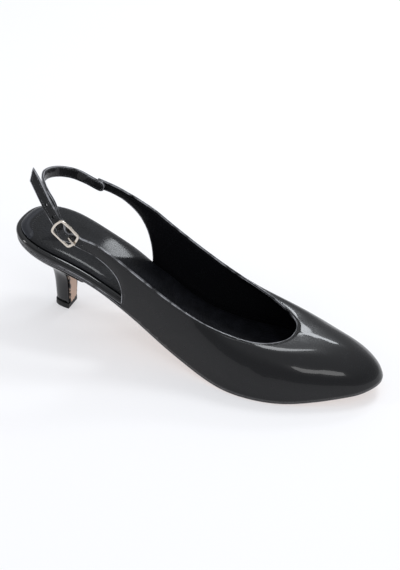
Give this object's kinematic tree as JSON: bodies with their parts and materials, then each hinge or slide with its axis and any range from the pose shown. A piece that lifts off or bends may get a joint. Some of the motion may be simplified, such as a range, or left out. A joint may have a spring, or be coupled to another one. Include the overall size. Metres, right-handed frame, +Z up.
{
  "type": "heeled slingback shoe",
  "caption": "Closed-toe slingback court shoe with a covered mid heel and a buckled back strap, right foot.",
  "frame": {"origin": "middle of the shoe's box, on the floor plane", "axes": "+Y from the heel to the toe, +X to the outer side of the right foot, +Z up"},
  "size_m": [0.0772, 0.2468, 0.1107],
  "materials": {
    "outsole_leather": "smooth tan sole leather",
    "wrapped_edge": "black patent wrap",
    "sock_leather": "black fine grain, semi-gloss",
    "heel_cover": "black glossy cover",
    "breast_leather": "smooth nude leather",
    "top_piece_rubber": "black, satin",
    "upper_patent": "black patent, high gloss",
    "strap_leather": "black, semi-gloss",
    "buckle_metal": "polished pale champagne plate"
  },
  "bodies": {
    "root": {"outsole": "outsole_leather", "insole_board": "wrapped_edge", "sock": "sock_leather", "heel_block": "heel_cover", "breast_strip": "breast_leather", "top_piece": "top_piece_rubber", "upper": "upper_patent", "sling_strap": "strap_leather", "buckle_frame": "buckle_metal", "buckle_prong": "buckle_metal"}
  },
  "joints": []
}
